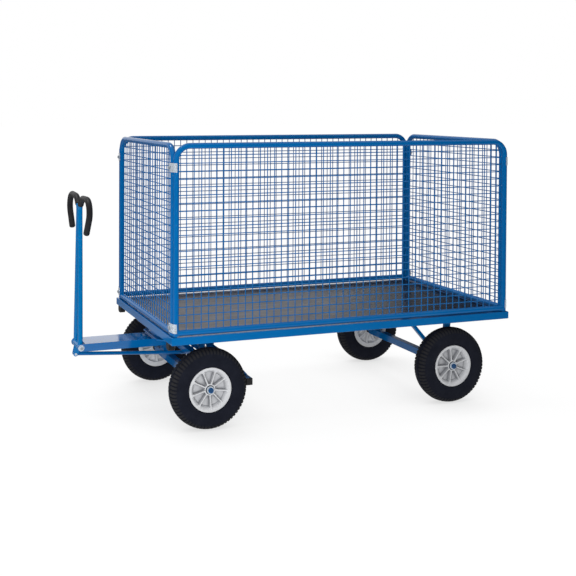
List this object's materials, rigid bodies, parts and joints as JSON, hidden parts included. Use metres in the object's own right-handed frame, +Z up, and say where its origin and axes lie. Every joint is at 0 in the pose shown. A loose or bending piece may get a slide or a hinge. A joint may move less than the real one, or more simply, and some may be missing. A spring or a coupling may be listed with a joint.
{
  "type": "mesh-sided hand cart",
  "caption": "Steel platform hand cart with a wooden deck, wire-mesh walls, pneumatic wheels, turntable steering and a hinged drawbar handle that works a parking brake.",
  "frame": {"origin": "on the ground under the middle of the whole cart's box", "axes": "+Z up, drawbar towards -X, +Y towards the side away from the camera in the picture"},
  "size_m": [2.3861, 1.0456, 1.465],
  "materials": {
    "blue_paint": "satin powder coat",
    "galvanised_steel": "bright galvanised",
    "plywood": "film-faced dark brown plywood",
    "tyre_rubber": "matte black tyre rubber",
    "rim_plastic": "moulded light grey plastic",
    "grip_rubber": "soft matte black grip",
    "black_rubber": "moulded black rubber",
    "black_plastic": "moulded black plastic"
  },
  "bodies": {
    "chassis": {"clip_bolts": "galvanised_steel", "corner_buffers": "black_rubber", "corner_clips": "galvanised_steel", "cross_members": "blue_paint", "deck_board": "plywood", "deck_rim": "blue_paint", "far_wall_frame": "blue_paint", "far_wall_mesh": "blue_paint", "front_wall_frame": "blue_paint", "front_wall_mesh": "blue_paint", "king_nut": "galvanised_steel", "king_pin": "galvanised_steel", "near_wall_frame": "blue_paint", "near_wall_mesh": "blue_paint", "rear_axle": "blue_paint", "rear_axle_caps": "blue_paint", "rear_axle_washers": "galvanised_steel", "rear_braces": "blue_paint", "rear_struts": "blue_paint", "rear_wall_frame": "blue_paint", "rear_wall_mesh": "blue_paint", "turntable_bearers": "blue_paint", "turntable_bolts": "galvanised_steel", "turntable_plate": "blue_paint"},
    "wheel_front_near": {"front_near_tyre": "tyre_rubber", "front_near_rim": "rim_plastic", "front_near_bearings": "galvanised_steel"},
    "wheel_front_far": {"front_far_tyre": "tyre_rubber", "front_far_rim": "rim_plastic", "front_far_bearings": "galvanised_steel"},
    "wheel_rear_near": {"rear_near_tyre": "tyre_rubber", "rear_near_rim": "rim_plastic", "rear_near_bearings": "galvanised_steel"},
    "wheel_rear_far": {"rear_far_tyre": "tyre_rubber", "rear_far_rim": "rim_plastic", "rear_far_bearings": "galvanised_steel"},
    "bogie": {"drawbar_arm": "blue_paint", "bogie_plate": "blue_paint", "turntable_race": "galvanised_steel", "bolster": "blue_paint", "pedestals": "blue_paint", "front_axle": "blue_paint", "front_axle_washers": "galvanised_steel", "front_axle_caps": "blue_paint", "hinge_bolt": "galvanised_steel", "hinge_nut": "galvanised_steel", "brake_brackets": "blue_paint"},
    "handle": {"handle_frame": "blue_paint", "near_grip": "grip_rubber", "far_grip": "grip_rubber", "brake_pin": "galvanised_steel"},
    "brake_rod": {"brake_rod": "blue_paint"},
    "brake_frame": {"brake_shaft": "blue_paint", "brake_crank_pin": "galvanised_steel", "brake_arms": "blue_paint", "brake_bar": "blue_paint", "brake_bar_caps": "black_plastic"}
  },
  "joints": [
    {"name": "steering", "type": "hinge", "parent": "chassis", "child": "bogie", "pos_m": [-0.59105, 0, 0.423], "axis": [0, 0, 1], "range_deg": [-45, 45]},
    {"name": "handle_tilt", "type": "hinge", "parent": "bogie", "child": "handle", "pos_m": [-1.16505, 0, 0.3655], "axis": [0, -1, 0], "range_deg": [0, 95]},
    {"name": "brake_rod_pivot", "type": "hinge", "parent": "handle", "child": "brake_rod", "pos_m": [-1.18105, 0, 0.3195], "axis": [0, -1, 0], "range_deg": [-98.5, 0.5]},
    {"name": "brake_release", "type": "hinge", "parent": "bogie", "child": "brake_frame", "pos_m": [-0.45805, 0, 0.342], "axis": [0, -1, 0], "range_deg": [-0.5, 20.5]},
    {"name": "wheel_front_near_spin", "type": "hinge", "parent": "bogie", "child": "wheel_front_near", "pos_m": [-0.59105, -0.445, 0.208], "axis": [0, 1, 0], "continuous": true},
    {"name": "wheel_front_far_spin", "type": "hinge", "parent": "bogie", "child": "wheel_front_far", "pos_m": [-0.59105, 0.445, 0.208], "axis": [0, 1, 0], "continuous": true},
    {"name": "wheel_rear_near_spin", "type": "hinge", "parent": "chassis", "child": "wheel_rear_near", "pos_m": [0.85095, -0.445, 0.208], "axis": [0, 1, 0], "continuous": true},
    {"name": "wheel_rear_far_spin", "type": "hinge", "parent": "chassis", "child": "wheel_rear_far", "pos_m": [0.85095, 0.445, 0.208], "axis": [0, 1, 0], "continuous": true}
  ],
  "couplings": [
    {"joint": "brake_rod_pivot", "follows": "handle_tilt", "ratio": -1.03},
    {"joint": "brake_release", "follows": "handle_tilt", "ratio": 0.21}
  ]
}
